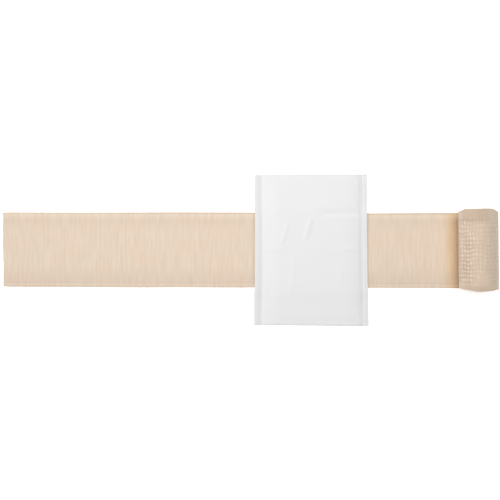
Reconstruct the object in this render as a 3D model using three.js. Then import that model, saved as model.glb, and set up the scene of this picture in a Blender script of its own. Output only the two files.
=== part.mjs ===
// A crepe compression bandage laid open with its wound dressing facing up. Millimetres, +Z up.
// +X runs along the band from its cut free end to its roll.
import * as THREE from "three";

// Woven crepe band
const bandWidth = 100;
const bandThickness = 1.1;
const freeStretch = 335; // free end to dressing
const clearStretch = 113; // dressing to the flank of the roll
const endSlant = 0.9; // how far the scissor cut runs out of square

// Roll that the rest of the band is wound into
const rollDiameter = 48.5;
const rollSquash = 0.015; // its soft turns lie this share wider and lower than a circle
const turnGap = 0.12;
const eyeDiameter = 5;
const stepsPerTurn = 28;

// Wound dressing: wadding in a folded fleece cover, sealed down both sides
const padWidth = 150;
const padLength = 200;
const padThickness = 5.5;
const sealWidth = 7.5;
const sealThickness = 1;
const seamThickness = 0.7; // where the seal meets the wadding
const foldThickness = 2;
const sideShoulder = 13; // the wadding thickens over this width inside the seal
const foldShoulder = 11;
const seatGap = 0.3; // dressing to band
const drapeWidth = 7; // the dressing comes down to the table over this width past the band
const padStep = 14; // usual step of the dressing's faces
const leastStep = 0.01; // places of the dressing's grid closer than this are one

// Edges of the flat band, as shares of half its width, at shares of its length from the free end.
// Its last stretch runs on to the first row of the roll.
const flatEdges = [
  { at: 0, far: 0.984, near: 0.984 },
  { at: 0.02, far: 0.991, near: 0.991 },
  { at: 0.16, far: 0.991, near: 0.993 },
  { at: 0.37, far: 1.006, near: 0.994 },
  { at: 0.51, far: 1.01, near: 1 },
  { at: 0.8, far: 0.992, near: 0.994 },
  { at: 0.94, far: 1.006, near: 1.006 },
];

// Edges of the wound band at turns of the roll, counted in from where it leaves the table.
// Its turns have slid out of line, and what is inside the last row lies as that row does.
const rollEdges = [
  { at: 0, far: 1.008, near: 1.008 },
  { at: 0.2, far: 0.97, near: 0.98 },
  { at: 0.36, far: 0.962, near: 0.966 },
  { at: 0.42, far: 1.04, near: 0.99 },
  { at: 0.55, far: 1.046, near: 1.026 },
  { at: 0.61, far: 1.053, near: 1.012 },
  { at: 0.69, far: 1.066, near: 0.99 },
  { at: 0.76, far: 1.03, near: 0.974 },
  { at: 1, far: 0.98, near: 0.966 },
  { at: 3, far: 1.01, near: 0.99 },
  { at: 7, far: 1.002, near: 1.016 },
  { at: 11, far: 0.99, near: 1.006 },
];

// Corners of the dressing from its middle, as shares of half its width and half its length.
const padCorners = {
  nearLeft: [-1.006, -0.999],
  nearRight: [1.02, -1.007],
  farLeft: [-1.006, 1.006],
  farRight: [0.994, 1.015],
};

// Creases that its packing left in the dressing. Each runs straight across it between two shares of its half
// width, at a share of its half length. Its width and height are shares of the wadding's thickness, and the
// height of a groove is under 0.
const padCreases = [
  { at: 0.005, from: -1, to: 1, widthShare: 1.5, heightShare: 0.07 },
  { at: 0.52, from: 0.12, to: 0.96, widthShare: 1.4, heightShare: -0.13 },
];
const creaseEnds = 0.25; // share of the half width over which a crease dies out

const rollRadius = rollDiameter / 2;
const flatLength = freeStretch + padWidth + clearStretch + rollRadius * (1 + rollSquash);
const padMiddle = freeStretch + padWidth / 2;

// One column of a table at a place between its rows, on straight lines, or past its last row.
function readTable(rows, column, place) {
  const next = rows.findIndex((row) => row.at > place);
  if (next < 0) return rows[rows.length - 1][column];
  const [before, after] = [rows[next - 1], rows[next]];
  return THREE.MathUtils.mapLinear(place, before.at, after.at, before[column], after[column]);
}

function smooth(share) {
  return THREE.MathUtils.smoothstep(share, 0, 1);
}

function quarterRound(share) {
  return Math.sin((Math.min(1, share) * Math.PI) / 2);
}

// A mesh's geometry from its corners and the four-sided faces between them, each listed anticlockwise.
function facetedSolid(corners, quads) {
  const geometry = new THREE.BufferGeometry();
  geometry.setAttribute("position", new THREE.Float32BufferAttribute(corners.flat(), 3));
  geometry.setIndex(quads.flatMap(([a, b, c, d]) => [a, b, c, a, c, d]));
  geometry.computeVertexNormals();
  return geometry;
}

// Four corners of the band's section, whose middle is at x, z and whose upper face looks along upX, upZ.
function bandSection(x, z, upX, upZ, edges, slant = 0) {
  const half = bandThickness / 2;
  const far = (edges.far * bandWidth) / 2;
  const near = (-edges.near * bandWidth) / 2;
  return [
    [x - half * upX + slant, near, z - half * upZ],
    [x - half * upX, far, z - half * upZ],
    [x + half * upX, far, z + half * upZ],
    [x + half * upX + slant, near, z + half * upZ],
  ];
}

function flatSections() {
  return flatEdges.map((edges) => {
    const slant = edges.at === 0 ? endSlant : 0;
    return bandSection(edges.at * flatLength, bandThickness / 2, 0, 1, edges, slant);
  });
}

// The band passes under the roll, up its outer side and over its top, and so on in to its eye.
function rollSections() {
  const pitch = (bandThickness + turnGap) / (1 - rollSquash);
  const outer = rollRadius - bandThickness / 2;
  const turns = (outer - eyeDiameter / 2) / pitch;
  const axisHeight = bandThickness / 2 + outer * (1 - rollSquash);
  return Array.from({ length: Math.floor(turns * stepsPerTurn) + 1 }, (_, step) => {
    const turn = step / stepsPerTurn;
    const angle = 2 * Math.PI * turn;
    const radius = outer - pitch * turn;
    const x = flatLength + radius * (1 + rollSquash) * Math.sin(angle);
    const z = axisHeight - radius * (1 - rollSquash) * Math.cos(angle);
    const edges = { far: readTable(rollEdges, "far", turn), near: readTable(rollEdges, "near", turn) };
    return bandSection(x, z, -Math.sin(angle), Math.cos(angle), edges);
  });
}

function crepeBand() {
  const sections = [...flatSections(), ...rollSections()];
  const last = 4 * (sections.length - 1);
  const quads = [[3, 2, 1, 0], [0, 1, 2, 3].map((corner) => last + corner)];
  for (let here = 0; here < last; here += 4) {
    for (let side = 0; side < 4; side++) {
      const other = (side + 1) % 4;
      quads.push([here + side, here + other, here + 4 + other, here + 4 + side]);
    }
  }
  return facetedSolid(sections.flat(), quads);
}

// Places across a span for the dressing's grid: at these insets from both edges, at these inner places, and in
// even steps between.
function gridPlaces(half, insets, inner) {
  const start = half - insets[insets.length - 1];
  const count = Math.max(1, Math.round(start / padStep));
  const even = Array.from({ length: count }, (_, i) => (i * start) / count);
  const onePerSide = [...insets.map((inset) => half - inset), ...even];
  const all = [...onePerSide, ...onePerSide.map((place) => -place), ...inner].sort((a, b) => a - b);
  return all.filter((place, i) => i === 0 || place - all[i - 1] > leastStep);
}

// How far the band lifts the dressing, at a distance from the band's middle line.
function liftOverBand(y) {
  const past = Math.abs(y) - bandWidth / 2 - seatGap;
  return (bandThickness + seatGap) * (1 - smooth(past / drapeWidth));
}

// Thickness of the dressing at insets from its sealed side and from its folded end.
function padDepth(sideInset, foldInset) {
  if (sideInset <= sealWidth) {
    return THREE.MathUtils.lerp(sealThickness, seamThickness, smooth(sideInset / sealWidth));
  }
  const body = THREE.MathUtils.lerp(foldThickness, padThickness, quarterRound(foldInset / foldShoulder));
  return THREE.MathUtils.lerp(seamThickness, body, quarterRound((sideInset - sealWidth) / sideShoulder));
}

function creaseHeight(x, y) {
  const share = x / (padWidth / 2);
  const heights = padCreases.map((crease) => {
    const across = Math.abs(y - (crease.at * padLength) / 2) / ((crease.widthShare * padThickness) / 2);
    const ends = smooth((share - crease.from) / creaseEnds) * smooth((crease.to - share) / creaseEnds);
    return crease.heightShare * padThickness * ends * Math.max(0, 1 - across);
  });
  return heights.reduce((sum, height) => sum + height, 0);
}

// Where a point of the square pattern lies on the dressing, whose sides aren't quite square.
function padPlace(x, y) {
  const scaled = ([across, along]) => new THREE.Vector2((across * padWidth) / 2, (along * padLength) / 2);
  const right = x / padWidth + 0.5;
  const nearPoint = scaled(padCorners.nearLeft).lerp(scaled(padCorners.nearRight), right);
  const farPoint = scaled(padCorners.farLeft).lerp(scaled(padCorners.farRight), right);
  return nearPoint.lerp(farPoint, y / padLength + 0.5);
}

function dressingPad() {
  const shoulderShares = [0.22, 0.55, 1];
  const sideInsets = [0, sealWidth / 2, sealWidth];
  sideInsets.push(...shoulderShares.map((share) => sealWidth + share * sideShoulder));
  const foldInsets = [0, ...shoulderShares.map((share) => share * foldShoulder)];
  const creaseRows = padCreases.flatMap(({ at, widthShare }) =>
    [-0.5, 0, 0.5].map((side) => (at * padLength) / 2 + side * widthShare * padThickness),
  );
  const drapeRows = [0, 0.35, 0.65, 1].flatMap((share) => {
    const row = bandWidth / 2 + seatGap + share * drapeWidth;
    return [-row, row];
  });
  const columns = gridPlaces(padWidth / 2, sideInsets, []);
  const rows = gridPlaces(padLength / 2, foldInsets, [...creaseRows, ...drapeRows]);

  const under = [];
  const upper = [];
  for (const y of rows) {
    for (const x of columns) {
      const place = padPlace(x, y);
      const lift = liftOverBand(place.y);
      const depth = padDepth(padWidth / 2 - Math.abs(x), padLength / 2 - Math.abs(y));
      under.push([place.x, place.y, lift]);
      upper.push([place.x, place.y, lift + depth + creaseHeight(x, y)]);
    }
  }

  const wide = columns.length;
  const top = under.length;
  const quads = [];
  const wall = (from, to) => quads.push([from, to, top + to, top + from]);
  for (let row = 0; row + 1 < rows.length; row++) {
    for (let column = 0; column + 1 < wide; column++) {
      const here = row * wide + column;
      const face = [here, here + 1, here + wide + 1, here + wide];
      quads.push([...face].reverse(), face.map((corner) => top + corner));
    }
    wall((row + 1) * wide, row * wide);
    wall((row + 1) * wide - 1, (row + 2) * wide - 1);
  }
  for (let column = 0; column + 1 < wide; column++) {
    wall(column, column + 1);
    wall(top - 1 - column, top - 2 - column);
  }
  return facetedSolid([...under, ...upper], quads);
}

function clothMaterial(color, roughness) {
  return new THREE.MeshStandardMaterial({ color, roughness, metalness: 0 });
}

const band = new THREE.Mesh(crepeBand(), clothMaterial("#e7d5c1", 0.95));
band.name = "crepe_band";

const pad = new THREE.Mesh(dressingPad(), clothMaterial("#ececec", 0.85));
pad.name = "dressing_pad";
pad.position.x = padMiddle;

// The origin is on the table, under the middle of the whole bandage.
const bandage = new THREE.Group();
bandage.add(band, pad);
const extent = new THREE.Box3().setFromObject(bandage);
const middle = extent.getCenter(new THREE.Vector3());
bandage.position.set(-middle.x, -middle.y, -extent.min.z);

const part = new THREE.Group();
part.add(bandage);
export default part;
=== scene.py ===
# A crepe compression bandage laid open on a pale table and seen from straight above. Metres, in the packed
# model's frame: +X runs along the band from its free end to its roll, and +Y is up the picture.
import math
import random

import bpy
import numpy as np
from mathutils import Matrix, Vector, noise


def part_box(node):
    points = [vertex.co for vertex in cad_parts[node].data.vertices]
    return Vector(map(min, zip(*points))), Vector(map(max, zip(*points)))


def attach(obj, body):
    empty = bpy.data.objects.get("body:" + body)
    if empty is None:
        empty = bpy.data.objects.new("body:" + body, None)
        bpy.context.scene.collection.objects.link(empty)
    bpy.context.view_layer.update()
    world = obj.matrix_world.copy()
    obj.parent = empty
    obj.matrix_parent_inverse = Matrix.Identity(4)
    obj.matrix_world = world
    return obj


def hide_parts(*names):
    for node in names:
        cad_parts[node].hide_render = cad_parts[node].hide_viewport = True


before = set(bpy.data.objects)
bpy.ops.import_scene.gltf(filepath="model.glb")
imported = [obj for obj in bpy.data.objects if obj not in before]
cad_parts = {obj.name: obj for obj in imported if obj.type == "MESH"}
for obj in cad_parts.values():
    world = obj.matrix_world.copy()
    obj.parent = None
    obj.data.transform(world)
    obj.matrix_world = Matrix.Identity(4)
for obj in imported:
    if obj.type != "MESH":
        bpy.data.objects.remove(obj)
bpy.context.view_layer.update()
BAND_LOW, BAND_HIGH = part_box("crepe_band")
PAD_LOW, PAD_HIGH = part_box("dressing_pad")

MM = 0.001

# Woven band
BAND_WIDTH = 100 * MM
BAND_THICKNESS = 1.1 * MM
FREE_STRETCH = 335 * MM  # free end to dressing
CLEAR_STRETCH = 113 * MM  # dressing to the flank of the roll
END_SLANT = 1.3 * MM  # how far the scissor cut runs out of square
SLANT_FROM, SLANT_TO = 15 * MM, -45 * MM  # places across the band between which it does so
CUT_RAGGEDNESS = 0.3 * MM
CUT_RAG_PITCH = 3 * MM

# Roll that the rest of the band is wound into
ROLL_DIAMETER = 48.5 * MM
ROLL_SQUASH = 0.015  # its soft turns lie this share wider and lower than a circle
TURN_GAP = 0.12 * MM
EYE_DIAMETER = 5 * MM
ROLL_SLEW = 0.012  # how far the roll's axis runs out of square with the band
SLEW_PIVOT = 30 * MM  # the slewed roll stays in its place this far beyond the band's middle line
LEAVES_TABLE = 0.2  # turn of the roll by which the band has left the table

# Wound dressing, as thick as it is before its cover is puffed
PAD_WIDTH = 150 * MM
PAD_LENGTH = 200 * MM
SLACK_THICKNESS = 3.9 * MM
SEAL_WIDTH = 7.5 * MM
SIDE_SHOULDER = 20 * MM  # the wadding thickens over this width inside the seal
FOLD_SHOULDER = 30 * MM
FOLD_THICKNESS = 2.8 * MM
SEAT_GAP = 0.3 * MM  # dressing to band
UNDER_DRAPE = 7 * MM  # past the band, its under face comes down to the table over this width
SEAL_DRAPE = 18 * MM
UPPER_DRAPE = 26 * MM
DRAPE_CHANGE = 12 * MM  # inside the seal, its drape goes over to the wadding's within this
COVER_REACH = 0.4 * MM
PUFFING_STEPS = 20
PAD_STEP = 2.3 * MM
SIDE_PULL = 1.1 * MM  # the stitches draw the sides in by this
PULLED_REACH = 44 * MM  # up and down from the dressing's middle, where it lies on the band
PULL_FADE = 14 * MM
LEFT_SEAL_TONE_AND_SHADE, RIGHT_SEAL_TONE_AND_SHADE = 0.3, 0.1  # how far the two seals take the grey tone: partly their denser fleece, partly painted shade beside the wadding
SEAL_TONE_FADE = 2.5 * MM
# The painted shade along the folded top edge reaches this far in.
FOLD_SHADE_REACH = 3 * MM

FLAT_LENGTH = FREE_STRETCH + PAD_WIDTH + CLEAR_STRETCH + ROLL_DIAMETER / 2 * (1 + ROLL_SQUASH)
ROLL_FLANK = FLAT_LENGTH - ROLL_DIAMETER / 2  # where the roll begins to hang over the flat band

# Edges of the flat band as shares of half its width, at shares of its length from the free end.
FLAT_EDGES = [
    {"at": 0, "far": 0.984, "near": 0.992},
    {"at": 0.02, "far": 0.991, "near": 1.0},
    {"at": 0.16, "far": 0.991, "near": 1.001},
    {"at": 0.3, "far": 1.001, "near": 1.006},
    {"at": 0.37, "far": 1.006, "near": 0.998},
    {"at": 0.51, "far": 1.01, "near": 1},
    {"at": 0.8, "far": 0.998, "near": 0.994},
    {"at": 0.94, "far": 1.019, "near": 0.999},
    {"at": 0.965, "far": 1.01, "near": 0.998},
    {"at": 0.975, "far": 1.035, "near": 0.998},
    {"at": 1, "far": 1.008, "near": 1.008},
]
# The same edges at turns of the roll, counted in from where it leaves the table. A quarter turn is the
# roll's right flank, a half its top and three quarters its left flank.
ROLL_EDGES = [
    {"at": 0, "far": 1.008, "near": 1.008},
    {"at": 0.2, "far": 0.985, "near": 0.985},
    {"at": 0.31, "far": 0.996, "near": 0.985},
    {"at": 0.36, "far": 1.003, "near": 0.974},
    {"at": 0.39, "far": 1.022, "near": 0.976},
    {"at": 0.43, "far": 1.06, "near": 1.0},
    {"at": 0.465, "far": 1.066, "near": 1.003},
    {"at": 0.55, "far": 1.063, "near": 1.026},
    {"at": 0.585, "far": 1.064, "near": 1.022},
    {"at": 0.65, "far": 1.068, "near": 0.99},
    {"at": 0.685, "far": 1.07, "near": 0.981},
    {"at": 0.705, "far": 1.045, "near": 0.969},
    {"at": 0.75, "far": 1.03, "near": 0.974},
    {"at": 0.78, "far": 1.008, "near": 0.974},
    {"at": 0.8, "far": 0.99, "near": 0.974},
    {"at": 1, "far": 0.98, "near": 0.966},
    {"at": 3, "far": 1.01, "near": 0.99},
    {"at": 7, "far": 1.002, "near": 1.016},
    {"at": 11, "far": 0.99, "near": 1.006},
]
FAR_REACH = 53.3 * MM  # from the band's middle line to its far edge at the widest turn
BAND_MIDDLE_Y = BAND_HIGH.y - FAR_REACH

# Steps of the band's mesh, fine where it shows
FINE_STEP = 1.1 * MM
HIDDEN_STEP = 4 * MM
WOUND_STEP = 3 * MM
FINE_COLUMNS = 72
HIDDEN_COLUMNS = 12
SHOWN_TURNS = 1.0
INNER_TURNS = 0.1  # by here the band's upper face has gone inside the roll

# Crepe relief
RIB_PITCH = 2.8 * MM
RIB_LENGTH = 20 * MM
RIB_HEIGHT = 0.09 * MM
CRINKLE_PITCH = 1.8 * MM
CRINKLE_HEIGHT = 0.07 * MM
CELL_PITCH_ALONG = 3.9 * MM
CELL_PITCH_ACROSS = 5.2 * MM
CELL_HEIGHT = 0.24 * MM
CELL_MEAN = 0.3  # puff of a cell at the height of the cloth round it
CELL_SWAY_PITCH = 14 * MM  # the rows of cells waver over this distance
CELL_PATCH_ALONG = 4 * MM  # cells puff out more or less in patches of this size
CELL_PATCH_ACROSS = 5 * MM
OPEN_PATCH_ALONG = 14 * MM  # and the stretched weave is more or less open in patches of this one
OPEN_PATCH_ACROSS = 20 * MM
OPEN_TURNS = (0.56, 0.68)  # turns of the roll between which its weave opens
SELVEDGE_WIDTH = 6.5 * MM
SELVEDGE_STEP = 1.5 * MM
SELVEDGE_LINE_DEPTH = 0.16 * MM
SELVEDGE_WAVER_ALONG = 30 * MM
SELVEDGE_WAVER_ACROSS = 10 * MM
RELIEF_FADE = 2 * MM  # the relief dies out over this width at both edges
EDGE_WAVE = 0.18 * MM
EDGE_WAVE_PITCH = 5 * MM
LIE_HEIGHT = 0.45 * MM
LIE_PITCH = 80 * MM
HELD_REACH = 50 * MM  # as far as this towards the free end, the dressing and the roll keep the band down
END_HELD_REACH = 25 * MM

# Reach of the dark tones on the band: painted shade beside the roll and the dressing, and in from the
# roll's two ends
CREVICE_SHADE_REACH = 15 * MM
CONTACT_SHADOW_REACH = 4 * MM
FAR_END_REACH = 18 * MM
NEAR_END_REACH = 11 * MM
END_TONE_FADE = 8 * MM
# How far they go towards the cloth's dark colour; beside the roll and the dressing this is painted shade
CREVICE_SHADE = 0.25
CONTACT_SHADOW = 0.35
ROLL_TONE = 0.51  # of the whole roll
ROLL_END_TONE = 0.7  # more at its ends, as a share of the roll's
END_TONE_TURNS = (0.42, 0.54)  # turns of the roll between which its ends grow darker
LIT_FLANK_TURNS = (0.66, 0.74)  # turns of the roll between which its left flank grows paler: painted light, as if lit from the side
# How much darker the cloth is drawn near its two edges, at mm in from the edge: the selvedge's closer weave
# in its thin lines, and a broader darkening further in.
SELVEDGE_SHADE = [
    {"at": 0, "far": 0.38, "near": 0.19},
    {"at": 1.7, "far": 0.34, "near": 0.34},
    {"at": 2.6, "far": 0.0, "near": 0.26},
    {"at": 3.8, "far": 0.0, "near": 0.04},
    {"at": 6.2, "far": 0.06, "near": 0.38},
    {"at": 8, "far": 0.14, "near": 0.23},
    {"at": 11.5, "far": 0.2, "near": 0.24},
    {"at": 18, "far": 0.14, "near": 0.18},
    {"at": 28, "far": 0.09, "near": 0.09},
]

# Section of the dressing's pressed side seals, from the outer edge in to the wadding, in mm. The right one
# is turned over once more.
SEAL_SECTION = [
    {"at": 0, "left": 0.6, "right": 0.7},
    {"at": 0.8, "left": 1.1, "right": 1.3},
    {"at": 1.6, "left": 1.3, "right": 1.1},
    {"at": 2.6, "left": 1.4, "right": 0.9},
    {"at": 3.8, "left": 1.45, "right": 1.4},
    {"at": 5.2, "left": 1.4, "right": 1.2},
    {"at": 6.5, "left": 1.25, "right": 0.9},
    {"at": 8, "left": 1.0, "right": 1.1},
    {"at": 9.4, "left": 0.75, "right": 1.45},
    {"at": 10.6, "left": 0.65, "right": 1.95},
    {"at": 11.8, "left": 0.9, "right": 2.4},
    {"at": 13.2, "left": 1.5, "right": 2.8},
]
SEAL_REACH = SEAL_SECTION[-1]["at"] * MM
SEAL_END_REACH = 3 * MM
LEFT_SEAM_INSET = 9.4 * MM
RIGHT_SEAM_INSET = 6.9 * MM

# Creases and wrinkles in the dressing, in mm from its middle. Each runs from one place to another and fades
# over one width on its left and another on its right, seen along the run.
PAD_CREASES = [
    {"from": (-66, 1), "to": (-36, 1), "left": 1.8, "right": 2.4, "height": 0.6},
    {"from": (34, 1), "to": (68, 1), "left": 1.8, "right": 2.4, "height": 0.6},
    {"from": (-60, 1), "to": (66, 0.5), "left": 1.8, "right": 2.4, "height": 0.06},
    {"from": (8, 47.6), "to": (70, 48), "left": 5.5, "right": 2.2, "height": -1.2},
    {"from": (-30, 38), "to": (-41, 4), "left": 2.6, "right": 2.0, "height": 0.85},
    {"from": (1, 46), "to": (-9, 12), "left": 2.6, "right": 2.0, "height": 0.95},
    {"from": (-45, 60), "to": (-46, 34), "left": 2.6, "right": 2.6, "height": 0.35},
    {"from": (-22, 0), "to": (-28, -66), "left": 3.0, "right": 3.0, "height": 0.4},
    {"from": (39, -24), "to": (36, -56), "left": 2.6, "right": 2.6, "height": 0.35},
    {"from": (56, 42), "to": (64, 37), "left": 1.6, "right": 2.0, "height": -0.5},
    {"from": (56, -42), "to": (64, -46), "left": 1.6, "right": 2.0, "height": -0.5},
    {"from": (50, 88), "to": (62, 56), "left": 3.0, "right": 4.0, "height": 0.2},
    {"from": (-66, 86), "to": (-58, 60), "left": 3.0, "right": 3.0, "height": 0.2},
    {"from": (-70, -93.5), "to": (72, -93.5), "left": 2.0, "right": 1.4, "height": -0.3},
    {"from": (-70, 97.2), "to": (72, 97.2), "left": 1.2, "right": 1.4, "height": -0.25},
]
CREASE_ENDS = 0.25  # share of its run over which a crease dies out at each end

# Corners of the dressing from its middle, as shares of half its width and half its length.
PAD_CORNERS = {
    "near_left": (-1.006, -0.999),
    "near_right": (1.038, -1.007),
    "far_left": (-1.006, 1.006),
    "far_right": (1.0, 1.015),
}
PAD_MIDDLE = Vector((
    PAD_LOW.x - PAD_CORNERS["near_left"][0] * PAD_WIDTH / 2,
    PAD_HIGH.y - PAD_CORNERS["far_right"][1] * PAD_LENGTH / 2,
    0,
))

# Threads
STITCH_PITCH = 4.6 * MM
STITCH_LENGTH = 3.2 * MM
STITCH_RADIUS = 0.17 * MM
STITCH_MARGIN = 4 * MM  # from the last stitch to the band's edge
LOOSE_THREADS = 46
YARN_RADIUS = 0.11 * MM

# Picture
VIEW_HEIGHT = 700 * MM
VIEW_WIDTH = 666.7 * MM
SENSOR_WIDTH = 36
PICTURE_TURN = math.radians(0.2)
LEFT_MARGIN = 4.2 * MM
VIEW_MIDDLE_Y = -0.25 * MM


def linear(hex_colour):
    """An sRGB hex colour as linear red, green, blue and alpha."""
    parts = [int(hex_colour[i : i + 2], 16) / 255 for i in (1, 3, 5)]
    return [p / 12.92 if p <= 0.04045 else ((p + 0.055) / 1.055) ** 2.4 for p in parts] + [1]


def read_table(rows, column, place):
    """One column of a table at a place between its rows, on straight lines."""
    return float(np.interp(place, [row["at"] for row in rows], [row[column] for row in rows]))


def ramp(value, start, end):
    """Goes smoothly from 0 at start to 1 at end, which may be the lower of the two, and stays so beyond."""
    share = min(1.0, max(0.0, (value - start) / (end - start)))
    return share * share * (3 - 2 * share)


def wander(x, y, seed=0.0):
    """Smooth noise of about -1 to 1, with bumps about one unit across."""
    return noise.noise(Vector((x, y, seed)))


def mesh_object(name, points, faces, material, smooth_faces=True):
    mesh = bpy.data.meshes.new(name)
    mesh.from_pydata(points, [], faces)
    mesh.validate()
    mesh.polygons.foreach_set("use_smooth", [smooth_faces] * len(mesh.polygons))
    mesh.materials.append(material)
    made = bpy.data.objects.new(name, mesh)
    bpy.context.scene.collection.objects.link(made)
    return made


def set_tone(piece, name, values):
    """Gives each point of a piece one value, for its material to read."""
    piece.data.attributes.new(name, "FLOAT", "POINT").data.foreach_set("value", values)


def add_node(tree, kind, inputs=None, **settings):
    """Adds a node with its settings, and links or sets its inputs."""
    node = tree.nodes.new(kind)
    for name, value in settings.items():
        setattr(node, name, value)
    for socket, value in (inputs or {}).items():
        if isinstance(value, bpy.types.NodeSocket):
            tree.links.new(value, node.inputs[socket])
        else:
            node.inputs[socket].default_value = value
    return node


def mix_colours(tree, factor, first, second, blend_type="MIX"):
    """The socket of a colour that goes from the first to the second with the factor."""
    mix = add_node(
        tree, "ShaderNodeMix", {"Factor": factor, "A": first, "B": second},
        data_type="RGBA", blend_type=blend_type,
    )
    return mix.outputs[2]


def read_tone(tree, name):
    return add_node(tree, "ShaderNodeAttribute", attribute_name=name).outputs["Fac"]


def set_bump(tree, shader, height, strength, distance):
    bump = add_node(
        tree, "ShaderNodeBump", {"Height": height, "Strength": strength, "Distance": distance}
    )
    tree.links.new(bump.outputs[0], shader.inputs["Normal"])


def new_material(name):
    material = bpy.data.materials.new(name)
    material.use_nodes = True
    tree = material.node_tree
    tree.nodes.clear()
    shader = add_node(tree, "ShaderNodeBsdfPrincipled")
    add_node(tree, "ShaderNodeOutputMaterial", {"Surface": shader.outputs["BSDF"]})
    return material, tree, shader


def crepe_cotton():
    """Unbleached cotton crepe: hard-twisted threads crimp the cloth, so it is matt, finely ribbed across
    its width and uneven in tone. Where the roll holds it stretched, the crimps open into small cells.
    Beside the roll it takes a painted warmer tone, which stands in for light that has met the cloth more
    than once."""
    thread_pitch = 1.1 * MM  # the real 0.6 mm is too fine to show, so it is drawn coarser
    tone_length = 1.6 * RIB_LENGTH
    patches_per_metre = (26, 42, 0)  # uneven tone in patches about 38 mm long and 24 mm wide
    fuzz_size = 0.4 * MM
    material, tree, shader = new_material("crepe_cotton")
    place = add_node(tree, "ShaderNodeAttribute", attribute_name="cloth_place").outputs["Vector"]

    rib_scale = (1 / RIB_PITCH, 1 / tone_length, 0)
    ribs = add_node(tree, "ShaderNodeMapping", {"Vector": place, "Scale": rib_scale})
    rib_tone = add_node(
        tree, "ShaderNodeTexNoise", {"Vector": ribs.outputs[0], "Scale": 1.0, "Detail": 2.0}
    )
    ribbed = mix_colours(tree, rib_tone.outputs[0], linear("#e2cebd"), linear("#f7e8db"))
    patches = add_node(tree, "ShaderNodeMapping", {"Vector": place, "Scale": patches_per_metre})
    patch_tone = add_node(tree, "ShaderNodeTexNoise", {"Vector": patches.outputs[0], "Scale": 1.0})
    tinted = mix_colours(tree, patch_tone.outputs[0], linear("#fff4ec"), linear("#f7fdf6"))
    cloth = mix_colours(tree, 1.0, ribbed, tinted, "MULTIPLY")
    # Mixes in a darker colour by each point's tone: the weave's own darker places, and painted shade and
    # light.
    shaded = mix_colours(tree, read_tone(tree, "weave_tone_and_shade"), cloth, linear("#bfaa96"))
    # Painted bounce light: a warmer tone in the crevice beside the roll.
    bounce_warmed = mix_colours(tree, read_tone(tree, "crevice"), shaded, linear("#fff8e4"), "MULTIPLY")
    tree.links.new(bounce_warmed, shader.inputs["Base Color"])

    wave_scale = 2 * math.pi / 20 / thread_pitch  # a wave texture repeats every 2 pi / 20 at scale 1
    weft, warp = (
        add_node(
            tree, "ShaderNodeTexWave", {"Vector": place, "Scale": wave_scale, "Distortion": 1.2},
            bands_direction=direction,
        )
        for direction in "XY"
    )
    fuzz = add_node(tree, "ShaderNodeTexNoise", {"Vector": place, "Scale": 1 / fuzz_size, "Detail": 3.0})
    crossing = add_node(
        tree, "ShaderNodeMath", {0: weft.outputs["Fac"], 1: warp.outputs["Fac"]}, operation="MULTIPLY"
    )
    weave = add_node(
        tree, "ShaderNodeMath", {0: fuzz.outputs[0], 1: 0.5, 2: crossing.outputs[0]},
        operation="MULTIPLY_ADD",
    )
    set_bump(tree, shader, weave.outputs[0], 0.6, 0.25 * MM)
    shader.inputs["Roughness"].default_value = 0.95
    shader.inputs["Specular IOR Level"].default_value = 0.15
    shader.inputs["Sheen Weight"].default_value = 0.4
    shader.inputs["Sheen Roughness"].default_value = 0.5
    return material


def fleece_cover():
    """Bonded viscose fleece: laid fibres pressed into a soft, slightly napped white sheet without a weave.
    Where heat has sealed two layers together, the sheet is denser and a little greyer; the same grey is
    laid on as painted shade beside the raised wadding and along the folded top edge."""
    fibre_width, fibre_length = 0.7 * MM, 2.4 * MM
    wadding_size = 45 * MM
    material, tree, shader = new_material("fleece_cover")
    place = add_node(tree, "ShaderNodeTexCoord").outputs["Object"]
    wadding = add_node(
        tree, "ShaderNodeTexNoise", {"Vector": place, "Scale": 1 / wadding_size, "Detail": 3.0}
    )
    tone = mix_colours(tree, wadding.outputs[0], linear("#e7e7e7"), linear("#e9e9e9"))
    # Grey where pressed: the sealed fleece, and painted shade beside the wadding and along the top fold.
    cover = mix_colours(tree, read_tone(tree, "pressed"), tone, linear("#d4d4d4"))
    tree.links.new(cover, shader.inputs["Base Color"])

    fibre_scale = (1 / fibre_width, 1 / fibre_length, 1 / fibre_width)
    fibre_run = add_node(tree, "ShaderNodeMapping", {"Vector": place, "Scale": fibre_scale})
    fibres = add_node(
        tree, "ShaderNodeTexNoise",
        {"Vector": fibre_run.outputs[0], "Scale": 1.0, "Detail": 4.0, "Distortion": 1.5},
    )
    set_bump(tree, shader, fibres.outputs[0], 0.45, 0.15 * MM)
    shader.inputs["Roughness"].default_value = 0.9
    shader.inputs["Specular IOR Level"].default_value = 0.2
    shader.inputs["Sheen Weight"].default_value = 0.2
    return material


def spun_thread(name, colour):
    """Spun cotton thread: matt and slightly hairy, one colour with a fine twist in its surface."""
    twist_size = 0.3 * MM
    material, tree, shader = new_material(name)
    place = add_node(tree, "ShaderNodeTexCoord").outputs["Object"]
    twist = add_node(tree, "ShaderNodeTexNoise", {"Vector": place, "Scale": 1 / twist_size, "Detail": 2.0})
    set_bump(tree, shader, twist.outputs[0], 0.3, 0.05 * MM)
    shader.inputs["Base Color"].default_value = linear(colour)
    shader.inputs["Roughness"].default_value = 0.9
    shader.inputs["Specular IOR Level"].default_value = 0.1
    return material


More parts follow.
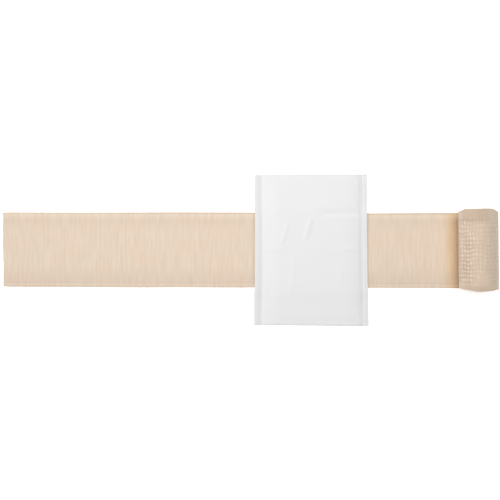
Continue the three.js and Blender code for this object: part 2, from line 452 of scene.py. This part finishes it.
def light_table():
    """White opal acrylic, cast and lit from below as under a packshot, so it stays clean white and takes
    hardly a shadow."""
    material, tree, shader = new_material("opal_acrylic")
    place = add_node(tree, "ShaderNodeTexCoord").outputs["Object"]
    ripple = add_node(tree, "ShaderNodeTexNoise", {"Vector": place, "Scale": 3.0})
    set_bump(tree, shader, ripple.outputs[0], 0.02, 1 * MM)
    shader.inputs["Base Color"].default_value = linear("#f6f6f5")
    shader.inputs["Roughness"].default_value = 0.6
    shader.inputs["Specular IOR Level"].default_value = 0.1
    shader.inputs["Emission Color"].default_value = linear("#ffffff")
    shader.inputs["Emission Strength"].default_value = 0.52
    return material


def flat_stations():
    """Places along the flat band, from its free end to where it passes under the roll."""
    pad_from = FREE_STRETCH + SEAL_WIDTH
    pad_to = FREE_STRETCH + PAD_WIDTH - SEAL_WIDTH
    stations = []
    along = 0.0
    while along < FLAT_LENGTH - FINE_STEP / 2:
        share = along / FLAT_LENGTH
        stations.append({
            "along": along, "turn": 0.0, "up": (0.0, 1.0),
            "x": BAND_LOW.x + along, "z": BAND_THICKNESS / 2,
            "far": read_table(FLAT_EDGES, "far", share), "near": read_table(FLAT_EDGES, "near", share),
            "top": FINE_COLUMNS, "under": FINE_COLUMNS if along == 0 else HIDDEN_COLUMNS,
        })
        along += HIDDEN_STEP if pad_from < along < pad_to - HIDDEN_STEP else FINE_STEP
    return stations


def roll_stations():
    """Places along the wound band, from where it passes under the roll to the roll's eye."""
    pitch = (BAND_THICKNESS + TURN_GAP) / (1 - ROLL_SQUASH)
    outer = (ROLL_DIAMETER - BAND_THICKNESS) / 2
    turns = (outer - EYE_DIAMETER / 2) / pitch
    axis_z = BAND_THICKNESS / 2 + outer * (1 - ROLL_SQUASH)
    stations = []
    along, turn = FLAT_LENGTH, 0.0
    while turn < turns:
        angle = 2 * math.pi * turn
        radius = outer - pitch * turn
        shown = turn < SHOWN_TURNS
        stations.append({
            "along": along, "turn": turn, "up": (-math.sin(angle), math.cos(angle)),
            "x": BAND_LOW.x + FLAT_LENGTH + radius * (1 + ROLL_SQUASH) * math.sin(angle),
            "z": axis_z - radius * (1 - ROLL_SQUASH) * math.cos(angle),
            "far": read_table(ROLL_EDGES, "far", turn), "near": read_table(ROLL_EDGES, "near", turn),
            "top": FINE_COLUMNS if turn < INNER_TURNS else HIDDEN_COLUMNS,
            "under": FINE_COLUMNS if shown else HIDDEN_COLUMNS,
        })
        step = FINE_STEP if shown else WOUND_STEP
        along += step
        turn += step / (2 * math.pi * radius)
    return stations


def beside_roll(along):
    """How deep a place on the flat band lies in the crevice beside the roll, from 0 to 1."""
    return ramp(along, ROLL_FLANK - CREVICE_SHADE_REACH, ROLL_FLANK)


# Its share darkens the band as a painted shadow along the dressing's sides.
def beside_pad(along):
    """How close a place on the flat band lies to a side of the dressing, from 0 to 1."""
    away = min(abs(along - side) for side in (FREE_STRETCH, FREE_STRETCH + PAD_WIDTH))
    return ramp(away, CONTACT_SHADOW_REACH, 0)


def wound_share(turn):
    """How far the cloth looks wound: 0 on the table, 1 round the roll, and 0 again under the next turn."""
    return ramp(turn, 0, LEAVES_TABLE) * ramp(turn, SHOWN_TURNS, SHOWN_TURNS - 0.1)


def cell_puff(along, v):
    """How far the stretched cloth puffs out: 0 between its cells, and about 1 in the middle of one."""
    sway = 0.5 * wander(along / CELL_SWAY_PITCH, v / CELL_SWAY_PITCH, 3.1)
    across = math.cos(2 * math.pi * (v / CELL_PITCH_ACROSS + sway))
    lengthways = math.cos(2 * math.pi * (along / CELL_PITCH_ALONG + sway))
    fullness = 0.8 + 0.9 * wander(along / CELL_PATCH_ALONG, v / CELL_PATCH_ACROSS, 11.7)
    return 0.25 * (1 + across) * (1 + lengthways) * max(0.1, fullness)


def roll_end(v, inset, turn):
    """How far a place on the roll takes the darker tone of its closely woven ends, from 0 to 1."""
    reach = FAR_END_REACH if v > 0 else NEAR_END_REACH
    return ramp(inset, reach, reach - END_TONE_FADE) * wound_share(turn) * ramp(turn, *END_TONE_TURNS)


def crepe_relief(station, v):
    """Height of the crimped threads at a distance v from the band's middle line, and how dark the cloth is
    drawn there: its weave's own tone, with painted shade beside the roll, beside the dressing and between
    the roll's cells, and painted light on the roll's left flank."""
    along, turn = station["along"], station["turn"]
    inset = BAND_WIDTH / 2 - abs(v)
    body = ramp(inset, SELVEDGE_WIDTH, SELVEDGE_WIDTH + SELVEDGE_STEP)
    wound = wound_share(turn)
    open_weave = 0.8 + 0.7 * wander(along / OPEN_PATCH_ALONG, v / OPEN_PATCH_ACROSS, 21.4)
    open_weave = min(1.0, max(0.45, open_weave))
    stretched = wound * body * open_weave * (0.32 + 1.1 * ramp(turn, *OPEN_TURNS))
    waver = 0.5 * wander(along / SELVEDGE_WAVER_ALONG, v / SELVEDGE_WAVER_ACROSS, 4.4)
    selvedge = read_table(SELVEDGE_SHADE, "far" if v > 0 else "near", inset / MM + waver)
    puff = cell_puff(along, v)

    rib = RIB_HEIGHT * wander(along / RIB_PITCH, v / RIB_LENGTH)
    crinkle = CRINKLE_HEIGHT * wander(along / CRINKLE_PITCH, v / CRINKLE_PITCH, 7.3)
    height = (rib + crinkle) * (1 - 0.4 * stretched) + stretched * CELL_HEIGHT * (puff - CELL_MEAN)
    height -= SELVEDGE_LINE_DEPTH * selvedge * (1 - body)

    # Painted shade in the crevice beside the roll and painted shadow beside the dressing, on top of the
    # selvedge's tone.
    crevice_shade_mask = beside_roll(along) * (turn < LEAVES_TABLE)
    flat_tone_and_shade = selvedge + CREVICE_SHADE * crevice_shade_mask + CONTACT_SHADOW * beside_pad(along)
    # Painted light: the roll's left flank is drawn paler.
    roll_tone_and_flank_light = wound * (1 - 0.5 * ramp(turn, *LIT_FLANK_TURNS)) + ROLL_END_TONE * roll_end(v, inset, turn)
    # Darker between the cells and paler on their tops: partly the open weave, partly painted shade in the
    # hollows.
    wound_tone_and_shade = roll_tone_and_flank_light * ROLL_TONE + stretched * (0.5 - 1.5 * puff)
    return height, max(flat_tone_and_shade * (1 - wound), wound_tone_and_shade)


def freedom_to_lift(station):
    """How freely the flat band may rise off the table: not at its end, under the dressing or by the
    roll."""
    along = station["along"]
    if station["turn"] > 0 or FREE_STRETCH < along < FREE_STRETCH + PAD_WIDTH:
        return 0.0
    free_of_pad = ramp(abs(along - FREE_STRETCH), 0, HELD_REACH)
    free_of_roll = ramp(abs(along - FLAT_LENGTH), 0, HELD_REACH)
    return ramp(along, 0, END_HELD_REACH) * free_of_pad * free_of_roll


def band_ring(station):
    """Points round the band's section, each with its place on the cloth and its shade, and their shares of
    the way round. The first is in the middle of the near edge, then come the upper face, the far edge and
    the under face."""
    along, turn = station["along"], station["turn"]
    half = BAND_THICKNESS / 2
    wave = [EDGE_WAVE * wander(along / EDGE_WAVE_PITCH, side) for side in (3.0, 9.0)]
    near = -station["near"] * BAND_WIDTH / 2 + wave[0]
    far = station["far"] * BAND_WIDTH / 2 + wave[1]
    freedom = freedom_to_lift(station)

    def point(v, side):
        """A point at a distance v from the middle line, on the upper face at side 1 and the under at -1."""
        lift, shade = 0.0, 0.0
        slant = ROLL_SLEW * (SLEW_PIVOT - v) * ramp(turn, 0, LEAVES_TABLE)
        height = half * side
        if abs(side) == 1:
            relief, shade = crepe_relief(station, v)
            outside = (turn == 0 and side == 1) or (turn > 0 and side == -1)
            edge_fade = ramp(min(v - near, far - v), 0, RELIEF_FADE)
            height += side * relief * outside * edge_fade * (turn < SHOWN_TURNS)
        if turn == 0:
            lift = freedom * LIE_HEIGHT * (0.6 + wander(along / LIE_PITCH, v / LIE_PITCH, 5.5))
        if along == 0:
            slant = END_SLANT * ramp(v, SLANT_FROM, SLANT_TO)
            slant += CUT_RAGGEDNESS * wander(v / CUT_RAG_PITCH, 0.5)
        up = station["up"]
        x = station["x"] + slant + up[0] * height
        return (x, BAND_MIDDLE_Y + v, station["z"] + up[1] * height + lift), (along, v, 0.0), shade

    rounding = ((0.15, 0.55), (0.42, 0.86))  # inset and height of the edge's points, in half thicknesses
    face_inset = 0.8 * half
    top_v = np.linspace(near + face_inset, far - face_inset, station["top"] + 1)
    under_v = np.linspace(far - face_inset, near + face_inset, station["under"] + 1)
    ring = [point(near, 0)]
    ring += [point(near + inset * half, side) for inset, side in rounding]
    ring += [point(v, 1) for v in top_v]
    ring += [point(far - inset * half, side) for inset, side in reversed(rounding)]
    ring += [point(far, 0)]
    ring += [point(far - inset * half, -side) for inset, side in rounding]
    ring += [point(v, -1) for v in under_v]
    ring += [point(near + inset * half, -side) for inset, side in reversed(rounding)]

    # The near edge takes the first and last tenth of the way round, and the far edge the two in the middle.
    edge_steps = [0.1 * (i + 1) / (len(rounding) + 1) for i in range(len(rounding))]
    shares = [0, *edge_steps, *np.linspace(0.1, 0.4, station["top"] + 1)]
    shares += [0.4 + step for step in edge_steps] + [0.5]
    shares += [0.5 + step for step in edge_steps] + [*np.linspace(0.6, 0.9, station["under"] + 1)]
    shares += [0.9 + step for step in edge_steps]
    return ring, shares


def zip_rings(first, first_shares, second, second_shares):
    """Faces between two closed rings of points that may differ in number, matched by their shares round."""
    faces = []
    i = j = 0
    n, m = len(first), len(second)
    # The next share is 1 for a ring's last step and 2 once it is used up, so that the other one catches up.
    while i < n or j < m:
        next_i = first_shares[i + 1] if i + 1 < n else 1.0 if i < n else 2.0
        next_j = second_shares[j + 1] if j + 1 < m else 1.0 if j < m else 2.0
        a, b = first[i % n], second[j % m]
        if abs(next_i - next_j) < 1e-6:
            faces.append((a, first[(i + 1) % n], second[(j + 1) % m], b))
            i, j = i + 1, j + 1
        elif next_i < next_j:
            faces.append((a, first[(i + 1) % n], b))
            i += 1
        else:
            faces.append((a, second[(j + 1) % m], b))
            j += 1
    return faces


def end_faces(ids):
    """Faces that close the end of the band across a ring of points."""
    faces = [(ids[i], ids[i + 1], ids[-i - 1], ids[-i]) for i in range(1, len(ids) // 2)]
    return faces + [(ids[0], ids[1], ids[-1])]


def crepe_band(material):
    """The whole woven strip, with its crimped relief where it shows, and its length."""
    points, places, shades, faces = [], [], [], []
    stations = flat_stations() + roll_stations()
    before = None
    for station in stations:
        ring, shares = band_ring(station)
        ids = list(range(len(points), len(points) + len(ring)))
        for place, cloth_place, shade in ring:
            points.append(place)
            places.append(cloth_place)
            shades.append(shade)
        if before:
            faces += zip_rings(*before, ids, shares)
        else:
            first = ids
        before = (ids, shares)
    faces += [tuple(reversed(face)) for face in end_faces(first)]
    faces += end_faces(before[0])
    band = mesh_object("woven_band", points, faces, material)
    flat_places = [value for place in places for value in place]
    band.data.attributes.new("cloth_place", "FLOAT_VECTOR", "POINT").data.foreach_set("vector", flat_places)
    set_tone(band, "weave_tone_and_shade", shades)
    # Painted bounce light: how far the cloth beside the roll is drawn warmer.
    set_tone(band, "crevice", [beside_roll(along) ** 2 * (along < FLAT_LENGTH) for along, v, z in places])
    return band, stations[-1]["along"]


def lift_over_band(y, drape_width):
    """How far the band lifts the dressing, at a distance from the band's middle line."""
    past = abs(y) - BAND_WIDTH / 2 - SEAT_GAP
    return (BAND_THICKNESS + SEAT_GAP) * ramp(past, drape_width, 0)


def pad_depth(x, fold_inset):
    """Thickness of the dressing at a distance from its middle line and an inset from its folded end."""
    side_inset = PAD_WIDTH / 2 - abs(x)
    side = "left" if x < 0 else "right"
    if side_inset <= SEAL_REACH:
        pressed = read_table(SEAL_SECTION, side, side_inset / MM) * MM
        # The seals thin out towards the folded ends.
        return pressed * (0.7 + 0.3 * ramp(fold_inset, 0, SEAL_END_REACH))
    seam = SEAL_SECTION[-1][side] * MM
    fold = math.sin(min(1.0, fold_inset / FOLD_SHOULDER) * math.pi / 2)
    rise = math.sin(min(1.0, (side_inset - SEAL_REACH) / SIDE_SHOULDER) * math.pi / 2)
    body = FOLD_THICKNESS + (SLACK_THICKNESS - FOLD_THICKNESS) * fold
    return seam + (body - seam) * rise


def crease_height(x, y):
    height = 0.0
    for crease in PAD_CREASES:
        start, end = Vector(crease["from"]) * MM, Vector(crease["to"]) * MM
        run = end - start
        share = (Vector((x, y)) - start).dot(run) / run.length_squared
        away = (run.x * (y - start.y) - run.y * (x - start.x)) / run.length
        width = crease["left" if away > 0 else "right"] * MM
        ends = ramp(share, 0, CREASE_ENDS) * ramp(share, 1, 1 - CREASE_ENDS)
        height += crease["height"] * MM * ends * math.exp(-((away / width) ** 2))
    return height


def pad_place(x, y):
    """Where a point of the square pattern lies. The dressing's sides aren't quite square, and the stitches
    draw them in."""
    right, far = x / PAD_WIDTH + 0.5, y / PAD_LENGTH + 0.5
    corner = {name: Vector(shares) for name, shares in PAD_CORNERS.items()}
    near_point = corner["near_left"].lerp(corner["near_right"], right)
    far_point = corner["far_left"].lerp(corner["far_right"], right)
    at = near_point.lerp(far_point, far)
    pull = SIDE_PULL * ramp(abs(y), PULLED_REACH + PULL_FADE, PULLED_REACH)
    drawn_in = pull * (x / (PAD_WIDTH / 2)) ** 3
    return PAD_MIDDLE.x + at.x * PAD_WIDTH / 2 - drawn_in, PAD_MIDDLE.y + at.y * PAD_LENGTH / 2


def seal_tone_and_fold_shade(x, y):
    """How grey the cover is drawn down its side seals, for their denser fleece and as painted shade beside
    the raised wadding, and along its top fold as painted shade.
    """
    side_inset, top_inset = PAD_WIDTH / 2 - abs(x), PAD_LENGTH / 2 - y
    # The seals' grey is partly their denser fleece and partly painted shade beside the raised wadding.
    seal = LEFT_SEAL_TONE_AND_SHADE if x < 0 else RIGHT_SEAL_TONE_AND_SHADE
    seal *= ramp(side_inset, SEAL_WIDTH + SEAL_TONE_FADE, SEAL_WIDTH)
    # Painted shade along the folded top edge, darker towards the right.
    fold = ramp(top_inset, FOLD_SHADE_REACH, 0) * (0.6 + 0.4 * x / (PAD_WIDTH / 2))
    return max(seal, fold)


def quilt_faces(wide, high):
    """Faces of a closed quilt: an under and an upper sheet of so many points each way, and four walls."""
    count = wide * high
    faces = []
    for row in range(high - 1):
        for column in range(wide - 1):
            here = row * wide + column
            face = (here, here + 1, here + wide + 1, here + wide)
            faces += [tuple(reversed(face)), tuple(count + corner for corner in face)]
        for a, b in (((row + 1) * wide, row * wide), ((row + 1) * wide - 1, (row + 2) * wide - 1)):
            faces.append((a, b, count + b, count + a))
    for column in range(wide - 1):
        for a, b in ((column, column + 1), (count - 1 - column, count - 2 - column)):
            faces.append((a, b, count + b, count + a))
    return faces


def dressing_pad(material):
    """The dressing as a closed quilt: puffed by a cloth simulation, then creased, then draped over the
    band."""
    body_half = PAD_WIDTH / 2 - SEAL_REACH
    body = np.linspace(-body_half, body_half, round(2 * body_half / PAD_STEP) + 1)
    seal = [PAD_WIDTH / 2 - row["at"] * MM for row in SEAL_SECTION[:-1]]
    columns = [*(-x for x in seal), *body, *reversed(seal)]
    rows = np.linspace(-PAD_LENGTH / 2, PAD_LENGTH / 2, round(PAD_LENGTH / PAD_STEP) + 1)
    grid = [(x, y) for y in rows for x in columns]
    under = [(x, y, 0.0) for x, y in grid]
    upper = [(x, y, pad_depth(x, PAD_LENGTH / 2 - abs(y))) for x, y in grid]
    pad = mesh_object("dressing", under + upper, quilt_faces(len(columns), len(rows)), material)
    puff_cover(pad, grid)
    for vertex in pad.data.vertices:
        x, y = grid[vertex.index % len(grid)]
        place = pad_place(x, y)
        vertex.co.x += place[0] - x
        vertex.co.y += place[1] - y
        over_band = vertex.co.y - BAND_MIDDLE_Y
        if vertex.index >= len(grid):
            inside = ramp(PAD_WIDTH / 2 - abs(x), SEAL_WIDTH, SEAL_WIDTH + DRAPE_CHANGE)
            drape = SEAL_DRAPE + (UPPER_DRAPE - SEAL_DRAPE) * inside
            vertex.co.z += crease_height(x, y) + lift_over_band(over_band, drape)
        else:
            vertex.co.z = lift_over_band(over_band, UNDER_DRAPE)
    # The grey tone carries painted shade too: beside the wadding and along the top fold.
    set_tone(pad, "pressed", [seal_tone_and_fold_shade(x, y) for x, y in grid] * 2)
    finer = pad.modifiers.new("finer", "SUBSURF")
    finer.levels = finer.render_levels = 1
    return pad


def puff_cover(pad, grid):
    """Lets pressure fill the cover between its seals, so that it puckers along them."""
    count = len(grid)
    held = pad.vertex_groups.new(name="held")
    for vertex in pad.data.vertices:
        x, y = grid[vertex.index % count]
        in_seal = PAD_WIDTH / 2 - abs(x) <= SEAL_REACH + 0.1 * MM
        in_fold = PAD_LENGTH / 2 - abs(y) <= 0.1 * MM
        if vertex.index < count or in_seal or in_fold:
            held.add([vertex.index], 1.0, "REPLACE")
    start = np.array([vertex.co[:] for vertex in pad.data.vertices])
    cloth = pad.modifiers.new("cover", "CLOTH")
    cloth.settings.vertex_group_mass = "held"
    cloth.settings.mass = 0.15
    cloth.settings.tension_stiffness = cloth.settings.compression_stiffness = 12
    cloth.settings.shear_stiffness = 6
    cloth.settings.bending_stiffness = 0.05
    cloth.settings.use_pressure = True
    cloth.settings.uniform_pressure_force = 4
    cloth.settings.shrink_min = -0.003
    cloth.settings.effector_weights.gravity = 0
    cloth.collision_settings.use_collision = False
    cloth.point_cache.frame_start, cloth.point_cache.frame_end = 1, PUFFING_STEPS
    for step in range(1, PUFFING_STEPS + 1):
        bpy.context.scene.frame_set(step)
    evaluated = pad.evaluated_get(bpy.context.evaluated_depsgraph_get())
    moved = np.array([vertex.co[:] for vertex in evaluated.data.vertices]) - start
    pad.modifiers.remove(cloth)
    bpy.context.scene.frame_set(1)
    reach = np.linalg.norm(moved, axis=1, keepdims=True)
    capped = moved * (COVER_REACH * np.tanh(reach / COVER_REACH) / np.maximum(reach, 1e-9))
    pad.data.vertices.foreach_set("co", (start + capped).ravel())


def thread_tube(points, radius, sides=6):
    """Closed tube round a short run of points, thinner at its two ends."""
    ring_points, faces = [], []
    for i, at in enumerate(points):
        run = (points[min(i + 1, len(points) - 1)] - points[max(i - 1, 0)]).normalized()
        side = run.cross(Vector((0, 0, 1)))
        side = side.normalized() if side.length > 1e-6 else Vector((1, 0, 0))
        up = side.cross(run)
        taper = 0.5 if i in (0, len(points) - 1) else 1.0
        for k in range(sides):
            angle = 2 * math.pi * k / sides
            ring_points.append(at + radius * taper * (math.cos(angle) * side + math.sin(angle) * up))
    for i in range(len(points) - 1):
        for k in range(sides):
            a, b = i * sides + k, i * sides + (k + 1) % sides
            faces.append((a, b, b + sides, a + sides))
    last = (len(points) - 1) * sides
    faces.append(tuple(reversed(range(sides))))
    faces.append(tuple(range(last, last + sides)))
    return ring_points, faces


def joined_tubes(name, runs, radius, material):
    points, faces = [], []
    for run in runs:
        tube_points, tube_faces = thread_tube(run, radius)
        faces += [tuple(corner + len(points) for corner in face) for face in tube_faces]
        points += tube_points
    return mesh_object(name, points, faces, material)


def pad_stitches(material):
    """Running stitches that hold the dressing to the band, down the groove of each side seal."""
    reach = BAND_WIDTH / 2 - STITCH_MARGIN
    rise = (-0.3 * MM, 0.1 * MM, 0.2 * MM, 0.1 * MM, -0.3 * MM)  # a stitch dips in at both ends
    runs = []
    for x in (LEFT_SEAM_INSET - PAD_WIDTH / 2, PAD_WIDTH / 2 - RIGHT_SEAM_INSET):
        top = BAND_THICKNESS + SEAT_GAP + pad_depth(x, PAD_LENGTH / 2)
        for i in range(int(2 * reach / STITCH_PITCH)):
            y = -reach + i * STITCH_PITCH
            start = Vector((*pad_place(x, y), top))
            end = Vector((*pad_place(x, y + STITCH_LENGTH), top))
            runs.append([start.lerp(end, k / 4) + Vector((0, 0, height)) for k, height in enumerate(rise)])
    return joined_tubes("pad_stitches", runs, STITCH_RADIUS, material)


def loose_threads(material):
    """Short ends of the lengthways threads at the scissor cut, rooted a little inside it."""
    draw = random.Random(4)
    root_depth = 0.6 * MM
    runs = []
    for i in range(LOOSE_THREADS):
        v = (i / (LOOSE_THREADS - 1) - 0.5) * BAND_WIDTH * 0.96 + draw.uniform(-0.6, 0.6) * MM
        length = draw.uniform(0.4, 1.7) * MM
        bend = draw.uniform(-0.5, 0.5) * MM
        z = BAND_THICKNESS * draw.uniform(0.3, 0.7)
        root = BAND_LOW.x + END_SLANT * (0.5 - v / BAND_WIDTH) + root_depth
        reach = length + root_depth
        runs.append([
            Vector((root - share * reach, BAND_MIDDLE_Y + v + bend * share**2, z * (1 - 0.3 * share)))
            for share in (0, 0.35, 0.7, 1)
        ])
    return joined_tubes("loose_threads", runs, YARN_RADIUS, material)


def table_top(material):
    reach = 3.0
    drop = -0.25 * MM
    corners = [(-reach, -reach, drop), (reach, -reach, drop), (reach, reach, drop), (-reach, reach, drop)]
    return mesh_object("table_top", corners, [(0, 1, 2, 3)], material, smooth_faces=False)


def soft_light(name, place, aim, size, power):
    light = bpy.data.lights.new(name, "AREA")
    light.shape = "SQUARE"
    light.size = size
    light.energy = power
    lamp = bpy.data.objects.new(name, light)
    lamp.location = place
    lamp.rotation_euler = (Vector(aim) - Vector(place)).to_track_quat("-Z", "Y").to_euler()
    bpy.context.scene.collection.objects.link(lamp)


def studio():
    """A camera straight above, a large soft light over the far side, a low one from far on the left, and an
    even pale surround."""
    scene = bpy.context.scene
    camera = bpy.data.cameras.new("camera")
    camera.sensor_width = SENSOR_WIDTH
    camera.lens = SENSOR_WIDTH * VIEW_HEIGHT / VIEW_WIDTH
    eye = bpy.data.objects.new("camera", camera)
    eye.location = (BAND_LOW.x - LEFT_MARGIN + VIEW_WIDTH / 2, VIEW_MIDDLE_Y, VIEW_HEIGHT)
    eye.rotation_euler = (0, 0, PICTURE_TURN)
    scene.collection.objects.link(eye)
    scene.camera = eye

    soft_light("overhead_softbox", place=(-0.03, 0.47, 1.2), aim=(0.05, 0, 0), size=0.9, power=13.1)
    soft_light("low_fill", place=(-2.4, -0.7, 0.9), aim=(0, 0, 0), size=1.2, power=16.5)
    world = bpy.data.worlds.new("surround")
    world.use_nodes = True
    background = world.node_tree.nodes["Background"]
    background.inputs["Color"].default_value = linear("#ffffff")
    background.inputs["Strength"].default_value = 0.335
    scene.world = world
    scene.view_settings.view_transform = "Standard"


band, band_length = crepe_band(crepe_cotton())
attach(band, "root")
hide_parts("crepe_band")

dressing = dressing_pad(fleece_cover())
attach(dressing, "root")
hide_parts("dressing_pad")

stitches = pad_stitches(spun_thread("sewing_thread", "#e4e3e0"))
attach(stitches, "root")

threads = loose_threads(spun_thread("crepe_yarn", "#dcc8b4"))
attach(threads, "root")

table_top(light_table())
studio()

bpy.context.view_layer.update()
